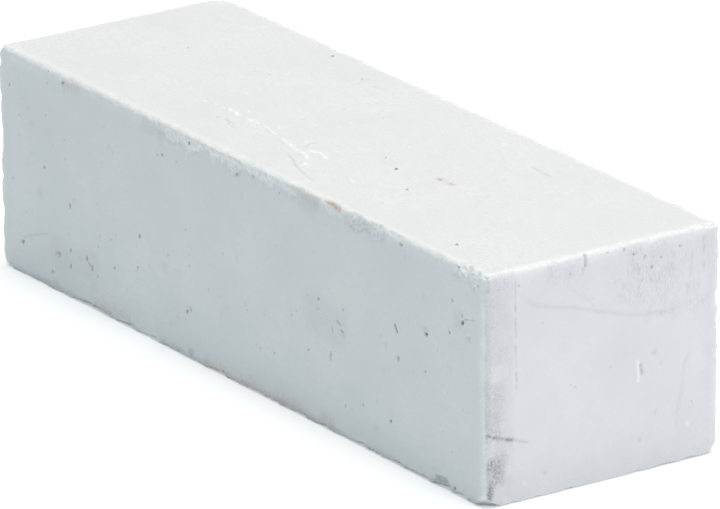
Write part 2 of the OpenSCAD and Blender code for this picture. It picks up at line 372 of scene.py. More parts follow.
# How strongly the fine grain shows on each upright side, and on the top and the base.
UPRIGHT_GRAIN = {"front": 0.35, "back": 0.60, "end": 0.25, "far_end": 0.60}
LEVEL_GRAIN = {"top": 1.00, "base": 0.80}
SMEARS = [
    *(Smear("grain", side, (-0.50, 0.00), (0.50, 1.00), 2.0, shown) for side, shown in UPRIGHT_GRAIN.items()),
    *(Smear("grain", side, (-0.50, -0.50), (0.50, 0.50), 2.0, shown) for side, shown in LEVEL_GRAIN.items()),
    # The end's band of grey along the front edge, darkest low down, and the scuffed patch under the top.
    Smear("dirt_and_painted_shade", "end", (-0.50, 0.04), (-0.39, 1.00), 0.9, 0.15),
    Smear("dirt_and_painted_shade", "end", (-0.50, 0.04), (-0.48, 1.00), 6.0, 0.26),
    Smear("dirt_and_painted_shade", "end", (-0.50, 0.38), (-0.46, 0.52), 5.0, 0.36),
    Smear("dirt_and_painted_shade", "end", (-0.49, 0.30), (-0.45, 0.33), 2.5, 0.40),
    Smear("dirt_and_painted_shade", "end", (-0.485, 0.10), (-0.43, 0.20), 2.0, 0.85),
    Smear("dirt_and_painted_shade", "end", (-0.485, 0.02), (-0.475, 0.12), 1.2, 1.00),
    Smear("rust", "end", (-0.485, 0.35), (-0.475, 0.95), 1.6, 0.09),
    Smear("ticks", "end", (0.14, 0.78), (0.27, 0.90), 6.0, 0.30),
    Smear("ticks", "end", (0.25, 0.72), (0.40, 0.86), 7.0, 0.19),
    Smear("ticks", "end", (0.24, 0.66), (0.30, 0.68), 2.5, 0.28),
    Smear("ticks", "end", (-0.22, 0.92), (-0.12, 0.96), 3.0, 0.22),
    Smear("dirt_and_painted_shade", "end", (-0.38, 0.03), (0.45, 0.08), 5.0, 0.07),
    Smear("dirt_and_painted_shade", "end", (0.46, 0.05), (0.50, 0.95), 2.5, 0.08),
    Smear("dirt_and_painted_shade", "end", (0.36, 0.12), (0.48, 0.20), 4.0, 0.08),
    # The dark line along the foot of the front and the dark patch in the chip near the end, which are painted
    # shade where the chipped underside falls in shadow, and the grime and the brown stains along the foot.
    Smear("dirt_and_painted_shade", "front", (-0.50, 0.00), (0.50, 0.01), 1.1, 0.42),
    Smear("dirt_and_painted_shade", "front", (0.405, 0.01), (0.425, 0.04), 0.9, 0.60),
    Smear("dirt_and_painted_shade", "front", (-0.385, 0.02), (-0.380, 0.03), 1.0, 0.30),
    Smear("dirt_and_painted_shade", "front", (-0.095, 0.02), (-0.090, 0.03), 1.2, 0.45),
    Smear("rust", "front", (-0.29, 0.02), (-0.225, 0.05), 1.6, 0.15),
    # Painted shade on the base, in strips under the front and the end, seen through the chipped edges.
    Smear("dirt_and_painted_shade", "base", (-0.50, -0.50), (0.50, -0.45), 1.5, 0.80),
    Smear("dirt_and_painted_shade", "base", (0.49, -0.50), (0.50, 0.50), 1.0, 0.70),
    Smear("rust", "front", (-0.06, 0.00), (0.19, 0.02), 2.5, 0.24),
    Smear("rust", "front", (0.30, 0.00), (0.38, 0.01), 2.0, 0.18),
    # Blushes round single marks.
    Smear("rust", "front", (0.384, 0.635), (0.386, 0.65), 1.0, 0.35),
    Smear("rust", "front", (-0.10, 0.21), (-0.095, 0.22), 1.2, 0.25),
    Smear("rust", "front", (-0.36, 0.96), (-0.33, 0.985), 1.2, 0.20),
    Smear("rust", "front", (0.13, 0.985), (0.165, 1.00), 1.4, 0.20),
    Smear("rust", "front", (0.00, 0.92), (0.01, 0.94), 1.2, 0.20),
    Smear("rust", "top", (0.195, -0.04), (0.225, -0.035), 1.2, 0.22),
    Smear("dirt_and_painted_shade", "front", (0.445, 0.75), (0.455, 0.77), 3.0, 0.13),
    Smear("dirt_and_painted_shade", "front", (-0.39, 0.13), (-0.30, 0.22), 3.0, 0.10),
    Smear("dirt_and_painted_shade", "front", (0.15, 0.43), (0.22, 0.52), 3.0, 0.10),
    Smear("dirt_and_painted_shade", "front", (0.12, 0.96), (0.16, 0.99), 2.5, 0.16),
    Smear("dirt_and_painted_shade", "front", (0.225, 0.95), (0.30, 0.98), 1.5, 0.22),
    Smear("dirt_and_painted_shade", "front", (-0.19, 0.93), (-0.15, 0.98), 1.5, 0.14),
    # The sides that lie out of sight.
    Smear("dirt_and_painted_shade", "back", (-0.18, 0.30), (0.02, 0.38), 14.0, 0.09),
    Smear("dirt_and_painted_shade", "back", (0.32, 0.60), (0.36, 0.70), 12.0, 0.07),
    Smear("dirt_and_painted_shade", "far_end", (0.05, 0.45), (0.20, 0.55), 14.0, 0.09),
    Smear("dirt_and_painted_shade", "base", (-0.38, -0.20), (0.28, 0.25), 12.0, 0.16),
]

# ---- Numbers that steer the mesh and the wear ----

COARSE_STEP = 1.60          # spacing of the mesh on a plain stretch
EDGE_STEP = 0.42            # spacing along the bar's edges
EDGE_BAND = 1.9             # how far that fine spacing reaches from an edge
STEP_GROWTH = 0.40          # how fast the spacing grows with distance from a detail
STEPS_PER_PIT = 4           # mesh points across a pit
STEPS_PER_STROKE = 3        # and across a stroke
SCAR_STEP = 0.40            # spacing of the mesh in a scar
FINEST_STEP = 0.15
JITTER = 0.18               # how far a mesh point strays from its cell's middle, as a share of the cell
SAME_POINT = 1e-7           # points of one side this near to each other are the same point
JOIN_DECIMALS = 5           # and so are points of two sides that agree to this many decimals
MARK_THICKNESS = 0.5        # how far a mark reaches round an edge, off the side that it lies on

FAN = 4.5                   # how deep under an edge the paths that carve it come together
BLEND_POWER = 3             # the higher, the less the cuts that meet at a corner deepen each other
RADIUS_SPREAD = 0.30        # how much an edge's radius varies along it, as a share
SMALLEST_RADIUS = 0.3       # the least share of its radius that is left
CORNER_BALL = 3.9           # radius of the ball that a corner is worn to, as a multiple of the wear's reach
CORNER_CORE = 0.65          # how deep that ball's middle lies under each side, as a share of its radius
LEAST_SLOPE = 0.2           # the least slope at which a path is taken to near a chip's plane

CHIP_TILT_SPREAD = 10       # how far a random chip's tilt strays from its edge's, in degrees
CHIP_LENGTH_SPREAD = 0.45   # how widely the lengths of random chips vary
CHIP_DEPTHS = (0.15, 1)     # from the shallowest to the deepest, as shares of the edge's depth
CHIP_LEANS = (-0.3, 0.9)    # from the least lean to the most
CHIP_CRUMBS = 0.8           # how crumbly a random chip's face is
CHIP_BLUNTNESS = 0.8        # under 1, a chip's ends are blunter than a straight ramp
CHIP_ROUGHNESS = 0.15
FRESH_BREAK = 0.3           # a cut this much deeper than the worn surface looks fully broken

CRUMBLE_REACH = 3.0         # how far crumbling reaches from an edge
POWDER_AND_HIGHLIGHT_REACH = 1.6          # how far powder, with its painted highlight, reaches beyond an edge's rounding
RIM_POWDER_AND_HIGHLIGHT = 0.50             # how much powder the worn edges carry, which also lightens them as a painted highlight
POWDER_AND_HIGHLIGHT_PATCHES = 0.6        # how uneven it is
SCAR_POWDER_AND_HIGHLIGHT = 0.70          # how much powder a scar's floor carries, which also lightens it as a painted highlight
SCAR_STEEPNESS = 6          # the higher, the steeper a scar's sides
SCAR_RIM = 1.1              # where its fine mesh ends, as a share of its half size
SCAR_RAGGEDNESS = 0.50
SCAR_ROUGHNESS = 0.35
PIT_SIZE_SPREAD = 0.30      # how widely the widths of scattered pits vary
PIT_SHADES = (0.5, 1.5)     # their darkness, as a share of the middling one's
PIT_STRETCH = (0.8, 1.4)    # and their height, as a share of their width
PIT_ACROSS = 0.48           # how far across from a side's middle they lie at most, in shares
PIT_UP = 0.46               # and how far up or down from it
PIT_DEPTH = 0.75            # a dark pit's depth as a share of its width
FAINTEST_PIT = 0.05         # and the share of that depth which the faintest pit keeps
PIT_RAGGEDNESS = 0.45
PIT_CORE = 0.3              # the share of a pit's half width that is darkest
PIT_RIM = 1.2               # and the share where its darkness and its fine mesh end
GRAIN_HEIGHT = 0.45         # a grain's height as a share of its width
GRAIN_RAGGEDNESS = 0.30
GRAIN_SHADE = 0.85
GRAIN_CORE = 0.5            # the share of a grain's half width that is darkest
STROKE_SOFTNESS = 1.4       # how far a stroke fades out, as a multiple of half its width
STROKE_TAPER = 0.75         # where a stroke starts to thin out, from its middle (0) to its ends (1)
STROKE_BREAKUP = 1.5        # how deeply its patches cut into it
STROKE_LOSS = 0.3           # and how much of it is missing on the whole
FULLEST_STROKE = 1.2
SMEAR_HOLD = 8              # how much faster a smear fades over an edge than along its own side
SMEAR_BLOTS = 0.6           # how uneven a smear's outline is

# Random swells of the surface: about how wide their lumps are, their seed, and how many layers of detail
# they have.
Swell = namedtuple("Swell", "size seed octaves")
EDGE_SWELL = Swell(9.0, 0, 2)
CHIP_LUMPS = Swell(1.6, 40, 3)
CRUMBS = Swell(1.5, 50, 4)
WAVES = Swell(5.0, 51, 2)
POWDER_AND_HIGHLIGHT_SWELL = Swell(2.5, 52, 3)
SCAR_LUMPS = Swell(2.6, 60, 4)
PIT_LUMPS = Swell(0.8, 70, 3)
GRAIN_LUMPS = Swell(0.8, 75, 2)
STROKE_PATCHES = Swell(1.4, 80, 2)
BLOTS = Swell(5.0, 85, 3)
BOW = Swell(30.0, 90, 2)
DIMPLES = Swell(6.0, 91, 2)
BROKEN_GRAIN = Swell(1.1, 92, 3)
SEED_SHIFT = 31.7           # how far apart the seeds' places in the noise are
FRACTAL = (0.9, 2.0)        # how quickly each layer of detail weakens, and how much finer it is than the last
BOW_DEPTH = 0.10
DIMPLE_DEPTH = 0.035
BROKEN_GRAIN_DEPTH = 0.26

rng = np.random.default_rng(2024)


def place(side, shares):
    """The point of the uncut bar at these shares of a side."""
    face = SIDES[side]
    point = np.zeros(3)
    point[face.axis] = face.sign * HALF[face.axis]
    for axis, share in ((face.across, shares[0]), (face.up, shares[1])):
        point[axis] = (share - (0.5 if axis == Z else 0)) * SIZE[axis]
    return point


def length_of(vectors):
    return np.linalg.norm(vectors, axis=-1)


def fade(value, start, stop):
    """1 up to start, 0 from stop, and a smooth slope between."""
    share = np.clip((value - start) / (stop - start), 0, 1)
    return 1 - share * share * (3 - 2 * share)


def ripple(points, swell):
    """Smooth random values, mostly within -1 to 1, with the lumps of a swell."""
    shifted = points / swell.size + SEED_SHIFT * (swell.seed + 1)
    return np.array([noise.fractal(point, *FRACTAL, swell.octaves) for point in shifted.tolist()])


def off_mark(points, mark, half_width, half_height):
    """How far points are from the middle of a mark on a side, in shares of its half width and height."""
    face = SIDES[mark.side]
    scale = np.full(3, MARK_THICKNESS)
    scale[[face.across, face.up]] = half_width, half_height
    return length_of((points - place(mark.side, (mark.across, mark.up))) / scale)


def off_path(points, corners):
    """How far points lie from a path of straight lengths, and how far along it, from 0 to 1."""
    nearest = np.full(len(points), np.inf)
    along = np.zeros(len(points))
    for i, (start, stop) in enumerate(zip(corners, corners[1:])):
        line = stop - start
        share = np.clip((points - start) @ line / (line @ line), 0, 1)
        away = length_of(points - start - share[:, None] * line)
        closer = away < nearest
        nearest[closer] = away[closer]
        along[closer] = (i + share[closer]) / (len(corners) - 1)
    return nearest, along


# ---- The mesh: laid over the uncut box, with its points closest together where there is detail ----

def all_pits():
    """The known pits and the scattered ones."""
    pits = list(KNOWN_PITS)
    for scatter in SCATTERED_PITS:
        up_axis = SIDES[scatter.side].up
        for _ in range(scatter.count):
            width = scatter.width * rng.lognormal(0, PIT_SIZE_SPREAD)
            up = rng.uniform(-PIT_UP, PIT_UP) + (0.5 if up_axis == Z else 0)
            shade = scatter.shade * rng.uniform(*PIT_SHADES)
            across = rng.uniform(-PIT_ACROSS, PIT_ACROSS)
            height = width * rng.uniform(*PIT_STRETCH)
            pits.append(Pit(scatter.side, across, up, width, height, shade))
    return pits


PITS = all_pits()


def edge_distance(points):
    """How far points of the box's surface are from its nearest edge."""
    return np.sort(HALF - np.abs(points), axis=1)[:, 1]


def wanted_spacing(points):
    """How far apart the mesh should be at each of these points."""
    spacing = EDGE_STEP + STEP_GROWTH * np.maximum(edge_distance(points) - EDGE_BAND, 0)
    for pit in PITS + GRAINS:
        reach = max(pit.width, pit.height) / 2
        away = length_of(points - place(pit.side, (pit.across, pit.up))) - PIT_RIM * reach
        finest = max(min(pit.width, pit.height) / STEPS_PER_PIT, FINEST_STEP)
        spacing = np.minimum(spacing, finest + STEP_GROWTH * np.maximum(away, 0))
    for stroke in STROKES:
        away, _ = off_path(points, [place(stroke.side, shares) for shares in stroke.path])
        away = np.maximum(away - stroke.width / 2, 0)
        spacing = np.minimum(spacing, stroke.width / STEPS_PER_STROKE + STEP_GROWTH * away)
    for scar in SCARS:
        away = off_mark(points, scar, scar.half_width, scar.half_height)
        away = np.maximum(away - SCAR_RIM, 0) * scar.half_height
        spacing = np.minimum(spacing, SCAR_STEP + STEP_GROWTH * away)
    return np.minimum(spacing, COARSE_STEP)


def edge_stops(axis):
    """The mesh's points along the bar's edges that run along an axis."""
    return np.linspace(-HALF[axis], HALF[axis], round(SIZE[axis] / EDGE_STEP) + 1)


def inner_points(face):
    """Points inside a side, one to a cell. Cells are quartered until they suit the spacing wanted there."""
    axes = [face.across, face.up]
    counts = [round(SIZE[axis] / COARSE_STEP) for axis in axes]
    cell = SIZE[axes] / counts
    grid = np.meshgrid(*[(np.arange(n) + 0.5) / n - 0.5 for n in counts])
    middles = np.stack([shares.ravel() for shares in grid], axis=1) * SIZE[axes]
    found = []
    while len(middles):
        points = np.zeros((len(middles), 3))
        points[:, face.axis] = face.sign * HALF[face.axis]
        points[:, axes] = middles
        divide = wanted_spacing(points) < cell.mean() / math.sqrt(2)
        kept = points[~divide]
        kept[:, axes] += rng.uniform(-JITTER, JITTER, (len(kept), 2)) * cell
        found.append(kept)
        quarters = [(i, j) for i in (-0.25, 0.25) for j in (-0.25, 0.25)]
        middles = np.concatenate([middles[divide] + cell * quarter for quarter in quarters])
        cell = cell / 2
    return np.concatenate(found)


def rim_points(face):
    """Points round the rim of a side, which the sides beside it share."""
    found = []
    for axis, other in ((face.across, face.up), (face.up, face.across)):
        stops = edge_stops(axis)
        for sign in (-1, 1):
            points = np.zeros((len(stops), 3))
            points[:, face.axis] = face.sign * HALF[face.axis]
            points[:, axis] = stops
            points[:, other] = sign * HALF[other]
            found.append(points)
    return np.unique(np.concatenate(found), axis=0)


def side_mesh(face):
    """The points and the triangles of one side of the box, with its triangles facing out."""
    points = np.concatenate([rim_points(face), inner_points(face)])
    flat = [Vector(pair) for pair in points[:, [face.across, face.up]].tolist()]
    _, _, triangles, origins, _, _ = delaunay_2d_cdt(flat, [], [], 0, SAME_POINT)
    triangles = np.array([[origins[i][0] for i in triangle] for triangle in triangles])
    turn = np.cross(*np.eye(3)[[face.across, face.up]])[face.axis]
    return points, triangles if turn * face.sign > 0 else triangles[:, ::-1]


def box_mesh():
    """The whole box's points and triangles, joined along its edges."""
    points, triangles, count = [], [], 0
    for face in SIDES.values():
        side_points, side_triangles = side_mesh(face)
        points.append(side_points)
        triangles.append(side_triangles + count)
        count += len(side_points)
    points, triangles = np.concatenate(points), np.concatenate(triangles)
    rounded = np.round(points, JOIN_DECIMALS)
    _, first, joined = np.unique(rounded, axis=0, return_index=True, return_inverse=True)
    return points[first], joined.ravel()[triangles]


# ---- The carving: each point of the box moves inward along its own path ----

# What the surface can carry, each from 0 to 1. Besides real marks, some carry painted shade and some painted
# highlights.
MARKS = ("pit", "broken", "powder_and_highlight", "dirt_and_painted_shade", "ticks", "rust", "pale_gloss_and_highlight", "grain")


class Carving:
    """The mesh's points and their paths inward, the depth cut so far, and what the surface carries there."""

    def __init__(self, points):
        self.points = points
        inward = np.clip(points, FAN - HALF, HALF - FAN) - points
        self.paths = inward / length_of(inward)[:, None]
        self.depth = np.zeros(len(points))
        self.marks = {kind: np.zeros(len(points)) for kind in MARKS}

    def gaps(self, sides):
        """How deep each point lies under each of these sides, and how fast that grows along its path."""
        faces = [SIDES[side] for side in sides]
        gap = np.stack([HALF[f.axis] - f.sign * self.points[:, f.axis] for f in faces], axis=1)
        rate = np.stack([-f.sign * self.paths[:, f.axis] for f in faces], axis=1)
        return gap, rate

    def to_ball(self, sides, radius, core):
        """How far each path runs before it enters the ball that rounds off a corner, or the rod that rounds
        off an edge. The ball's middle lies at the depth core under each of the sides that meet."""
        gap, rate = self.gaps(sides)
        reach = core[:, None] - gap
        a = (rate ** 2).sum(axis=1)
        b = (rate * reach).sum(axis=1)
        c = (reach ** 2).sum(axis=1) - radius ** 2
        run = (b - np.sqrt(np.maximum(b * b - a * c, 0))) / np.maximum(a, 1e-6)
        return np.where((reach > 0).all(axis=1) & (c > 0), np.maximum(run, 0), 0)

    def to_plane(self, sides, tilt, depth):
        """How far each path runs before it passes a plane that cuts depth off where two sides meet. It is
        less than 0 where the path starts beyond that plane."""
        gap, rate = self.gaps(sides)
        slope = np.array([math.cos(tilt), math.sin(tilt)])
        return (depth - gap @ slope) / np.maximum(rate @ slope, LEAST_SLOPE)

    def deepen(self, depth):
        self.depth = np.maximum(self.depth, depth)

    def mark(self, kind, amount):
        self.marks[kind] = np.maximum(self.marks[kind], np.clip(amount, 0, 1))

    def surface(self):
        return self.points + self.paths * self.depth[:, None]


def near_edge(carving, edge, reach):
    """1 at an edge and 0 from reach millimetres away."""
    gap, _ = carving.gaps(edge.sides)
    return fade(length_of(gap), 0, reach)


def run_axis(sides):
    """The axis that the edge between two sides runs along."""
    return ({X, Y, Z} - {SIDES[side].axis for side in sides}).pop()


def round_edges(carving):
    """Rounds the edges and the corners. Where roundings meet, they deepen each other."""
    total = np.zeros(len(carving.points))
    for seed, edge in enumerate(EDGES):
        swells = ripple(carving.points, EDGE_SWELL._replace(seed=seed))
        radius = edge.radius * np.maximum(1 + RADIUS_SPREAD * swells, SMALLEST_RADIUS)
        total += carving.to_ball(edge.sides, radius, radius) ** BLEND_POWER
    for sides, reach in CORNERS.items():
        radius = np.full(len(total), CORNER_BALL * reach)
        total += carving.to_ball(sides, radius, CORNER_CORE * radius) ** BLEND_POWER
    carving.deepen(total ** (1 / BLEND_POWER))


def all_chips():
    """The known chips and the random ones."""
    chips = list(KNOWN_CHIPS)
    for edge in EDGES:
        for _ in range(int(SIZE[run_axis(edge.sides)] / edge.pitch)):
            along = rng.uniform(-0.5, 0.5)
            reach = edge.reach * rng.lognormal(0, CHIP_LENGTH_SPREAD)
            depth = edge.depth * rng.uniform(*CHIP_DEPTHS)
            tilt = edge.tilt + CHIP_TILT_SPREAD * rng.uniform(-1, 1)
            lean = rng.uniform(*CHIP_LEANS)
            chips.append(Chip(edge.sides, along, reach, depth, tilt, lean, CHIP_CRUMBS))
    return chips


def chip_edges(carving):
    """Breaks flat chips off the edges."""
    lumps = ripple(carving.points, CHIP_LUMPS)
    radii = {edge.sides: edge.radius for edge in EDGES}
    for chip in all_chips():
        axis = run_axis(chip.sides)
        along = (carving.points[:, axis] - chip.along * SIZE[axis]) / chip.reach - chip.lean
        along = np.where(along > 0, along / (1 - chip.lean), along / (1 + chip.lean))
        bite = np.maximum(1 - np.abs(along), 0) ** CHIP_BLUNTNESS
        tilt = math.radians(chip.tilt)
        start = radii[chip.sides] * (math.cos(tilt) + math.sin(tilt) - 1)
        depth = np.where(bite > 0, start + (chip.depth + CHIP_ROUGHNESS * lumps) * bite, 0)
        run = carving.to_plane(chip.sides, tilt, depth)
        carving.mark("broken", chip.crumbly * np.minimum((run - carving.depth) / FRESH_BREAK, 1))
        carving.deepen(run)


def crumble_edges(carving):
    """Roughens the edges, each by its own amount, and dusts the ones off the floor with powder, which also
    lightens them as a painted highlight.
    """
    crumbs = ripple(carving.points, CRUMBS)
    waves = ripple(carving.points, WAVES)
    powder_and_highlight = RIM_POWDER_AND_HIGHLIGHT * (1 + POWDER_AND_HIGHLIGHT_PATCHES * ripple(carving.points, POWDER_AND_HIGHLIGHT_SWELL))
    for edge in EDGES:
        weight = near_edge(carving, edge, CRUMBLE_REACH)
        carving.depth += weight * (edge.rough * crumbs + edge.wavy * waves)
        if "base" not in edge.sides:
            carving.mark("powder_and_highlight", powder_and_highlight * near_edge(carving, edge, POWDER_AND_HIGHLIGHT_REACH + edge.radius))


def flake_sides(carving):
    """Takes shallow flakes off the sides. They leave a small step round a paler, powdery floor, whose
    paleness is partly a painted highlight.
    """
    lumps = ripple(carving.points, SCAR_LUMPS)
    for scar in SCARS:
        away = off_mark(carving.points, scar, scar.half_width, scar.half_height)
        away = away * (1 + SCAR_RAGGEDNESS * lumps)
        floor = scar.depth * np.maximum(1 - away ** SCAR_STEEPNESS, 0) * (1 + SCAR_ROUGHNESS * lumps)
        carving.mark("broken", scar.crumbly * floor / scar.depth)
        carving.mark("powder_and_highlight", SCAR_POWDER_AND_HIGHLIGHT * floor / scar.depth)
        carving.deepen(floor)


def dome(away):
    """The height of a half ball: 1 at its middle and 0 from a radius away."""
    return np.sqrt(np.maximum(1 - away ** 2, 0))


def sink_pits(carving):
    """Sinks the air pits, each a little out of round. The fainter ones are shallow."""
    lumps = ripple(carving.points, PIT_LUMPS)
    for pit in PITS:
        away = off_mark(carving.points, pit, pit.width / 2, pit.height / 2)
        away = away * (1 + PIT_RAGGEDNESS * lumps)
        steepness = PIT_DEPTH * (FAINTEST_PIT + (1 - FAINTEST_PIT) * pit.shade)
        # The darkness laid in a pit is dirt and painted shade in its hollow.
        carving.mark("pit", pit.shade * fade(away, PIT_CORE, PIT_RIM))
        carving.depth += steepness * min(pit.width, pit.height) * dome(away)


def raise_grains(carving):
    """Stands the dark grains on the surface."""
    lumps = ripple(carving.points, GRAIN_LUMPS)
    for grain in GRAINS:
        away = off_mark(carving.points, grain, grain.width / 2, grain.height / 2)
        away = away * (1 + GRAIN_RAGGEDNESS * lumps)
        carving.mark("pit", GRAIN_SHADE * grain.shade * fade(away, GRAIN_CORE, PIT_RIM))
        carving.depth -= GRAIN_HEIGHT * grain.width * dome(away)


def draw_strokes(carving):
    """Draws the creases, the cracks and the faint lines, which thin out at their ends and break up. The
    crease and the end's ridge are lightened as painted highlights, and one stroke is painted shadow.
    """
    patches = ripple(carving.points, STROKE_PATCHES)
    for stroke in STROKES:
        away, along = off_path(carving.points, [place(stroke.side, shares) for shares in stroke.path])
        taper = fade(np.abs(along - 0.5) * 2, STROKE_TAPER, 1.0)
        whole = np.clip(1 + stroke.patchy * (STROKE_BREAKUP * patches - STROKE_LOSS), 0, FULLEST_STROKE)
        shape = fade(away, 0, stroke.width / 2 * STROKE_SOFTNESS) * taper * whole
        carving.depth += stroke.cut * shape
        carving.mark(stroke.kind, stroke.strength * shape)


def smear_sides(carving):
    """Lays the soft patches, most of them dirt and rust, some of them painted shade, with uneven outlines."""
    blots = SMEAR_BLOTS * ripple(carving.points, BLOTS)
    for smear in SMEARS:
        low, high = place(smear.side, smear.low), place(smear.side, smear.high)
        outside = np.maximum(np.maximum(low - carving.points, carving.points - high), 0)
        outside[:, SIDES[smear.side].axis] *= SMEAR_HOLD
        carving.mark(smear.kind, smear.strength * fade(length_of(outside) / smear.soft + blots, 0, 1))


def carved_bar():
    """The bar's points, its triangles, and what each point's surface carries."""
    points, triangles = box_mesh()
    carving = Carving(points)
    round_edges(carving)
    chip_edges(carving)
    crumble_edges(carving)
    flake_sides(carving)
    sink_pits(carving)
    raise_grains(carving)
    draw_strokes(carving)
    smear_sides(carving)
    carving.depth += BOW_DEPTH * ripple(points, BOW) + DIMPLE_DEPTH * ripple(points, DIMPLES)
    carving.depth += BROKEN_GRAIN_DEPTH * ripple(points, BROKEN_GRAIN) * carving.marks["broken"]
    surface = carving.surface()
    surface[:, Z] = np.maximum(surface[:, Z], -HALF[Z])
    return surface, triangles, carving.marks


def make_mesh(name, points, triangles, marks):
    """A smooth mesh object in the row frame, with its marks stored on its points."""
    mesh = bpy.data.meshes.new(name)
    mesh.from_pydata(((points + CENTRE) * MM).tolist(), [], triangles.tolist())
    for kind, values in marks.items():
        mesh.attributes.new(kind, "FLOAT", "POINT").data.foreach_set("value", values.astype(np.float32))
    mesh.shade_smooth()
    made = bpy.data.objects.new(name, mesh)
    bpy.context.scene.collection.objects.link(made)
    return made


# ---- Materials ----

FLOOR_GLOW = 0.27
CHALK = (0.800, 0.812, 0.808)
CHALK_SHADE = (0.740, 0.757, 0.757)
CHALK_BRIGHT = (0.955, 0.96, 0.955)
CRUMB_DIRT_AND_SHADE = (0.62, 0.635, 0.64)
DIRT_AND_SHADE = (0.30, 0.285, 0.31)
RUST = (0.57, 0.27, 0.13)
DARK_GRAIN_PIT_DIRT_AND_SHADE = (0.16, 0.155, 0.15)


class Shader:
    """Builds a material's nodes. A value given to a node is either a plain value or another node's output."""

    def __init__(self, name):
        self.material = bpy.data.materials.new(name)
        self.material.use_nodes = True
        self.tree = self.material.node_tree
        self.tree.nodes.clear()

    def node(self, kind, inputs=(), **settings):
        made = self.tree.nodes.new("ShaderNode" + kind)
        for key, value in settings.items():
            setattr(made, key, value)
        for key, value in dict(inputs).items():
            if isinstance(value, bpy.types.NodeSocket):
                self.tree.links.new(value, made.inputs[key])
            else:
                made.inputs[key].default_value = value
        return made

    def noise(self, spot, per_metre, detail):
        inputs = {"Vector": spot, "Scale": per_metre, "Detail": detail}
        return self.node("TexNoise", inputs).outputs["Fac"]

    def turned(self, spot, angles, stretch):
        """The spot in axes turned by these angles, where a noise comes out stretched along them."""
        inputs = {"Vector": spot, "Rotation": angles, "Scale": stretch}
        return self.node("Mapping", inputs, vector_type="TEXTURE").outputs["Vector"]

    def ramp(self, value, low, high, start=0.0, stop=1.0):
        """value run from start at low to stop at high, and held beyond them."""
        inputs = {"Value": value, "From Min": low, "From Max": high, "To Min": start, "To Max": stop}
        return self.node("MapRange", inputs).outputs["Result"]

    def maths(self, operation, first, second):
        return self.node("Math", {0: first, 1: second}, operation=operation).outputs[0]

    def times(self, first, second):
        return self.maths("MULTIPLY", first, second)

    def mix(self, share, first, second):
        """A colour between two, or between an output and a colour."""
        first, second = [(*c, 1.0) if isinstance(c, tuple) else c for c in (first, second)]
        inputs = {"Factor": share, 6: first, 7: second}
        return self.node("Mix", inputs, data_type="RGBA").outputs[2]

    def mark(self, kind):
        return self.node("Attribute", attribute_name=kind).outputs["Fac"]

    def surface(self, inputs):
        shader = self.node("BsdfPrincipled", inputs)
        self.node("OutputMaterial", {"Surface": shader.outputs["BSDF"]})
        return self.material


# A noise of the chalk: how far its axes are turned, in radians, how far it is stretched along them, how fine
# it is, in lumps per metre, and how many layers of detail it has.
Noise = namedtuple("Noise", "turn stretch per_metre detail")
EVEN = (1.0, 1.0, 1.0)
NOISES = {
    "clouds": Noise((0.5, 0.8, 0.3), EVEN, 45, 4.0),
    "curds": Noise((0.5, 0.8, 0.3), EVEN, 260, 3.0),
    "grain": Noise((0.5, 0.8, 0.3), EVEN, 1700, 3.0),
    "flecks": Noise((0.9, 0.4, 0.7), EVEN, 1300, 2.0),
    "stipple": Noise((0.2, 0.7, 0.5), EVEN, 2600, 2.0),
    "wiped": Noise((0.0, 0.0, 0.12), (5.0, 1.0, 1.0), 1500, 3.0),
    "brushed": Noise((0.0, 0.0, -0.45), (6.0, 1.0, 1.0), 1100, 3.0),
    "upright": Noise((0.03, 0.0, 0.4), (1.0, 1.0, 2.6), 2700, 2.0),
}
SPECK_CELLS = 330.0         # cells per metre, of which one in a few holds a speck
SPECK_SIZES = (0.0, 0.11)   # from the smallest to the largest, in cells
SPECK_STRENGTH = 0.28
POLISHED_ROUGHNESS = 0.35
DULL_ROUGHNESS = (0.62, 0.80)
BUMP_STRENGTH = 0.35
BUMP_DISTANCE = 0.12


def chalk_body(s, noises):
    """The clean chalk: clouds and curds, and the fine grain where a side shows it."""
    shown = s.mark("grain")
    colour = s.mix(s.ramp(noises["clouds"], 0.35, 0.70), CHALK, CHALK_SHADE)
    colour = s.mix(s.ramp(noises["curds"], 0.52, 0.75, 0.0, 0.45), colour, CHALK_SHADE)
    for name, low, high in (("grain", 0.38, 0.62), ("wiped", 0.50, 0.66), ("brushed", 0.55, 0.66)):
        colour = s.mix(s.times(shown, s.ramp(noises[name], low, high)), colour, CHALK_SHADE)
    flecks = s.times(shown, s.ramp(noises["flecks"], 0.60, 0.74, 0.0, 0.35))
    return s.mix(flecks, colour, CHALK_BRIGHT)


def chalk_specks(s, spot, colour):
    """Small dark grains, one at the middle of each cell that has one."""
    cells = s.node("TexVoronoi", {"Vector": spot, "Scale": SPECK_CELLS})
    pick = s.node("SeparateColor", {"Color": cells.outputs["Color"]}).outputs[0]
    speck_size = s.ramp(pick, 0.55, 1.0, *SPECK_SIZES)
    specks = s.ramp(s.maths("SUBTRACT", speck_size, cells.outputs["Distance"]), 0.0, 0.06)
    return s.mix(s.times(specks, SPECK_STRENGTH), colour, DIRT_AND_SHADE)


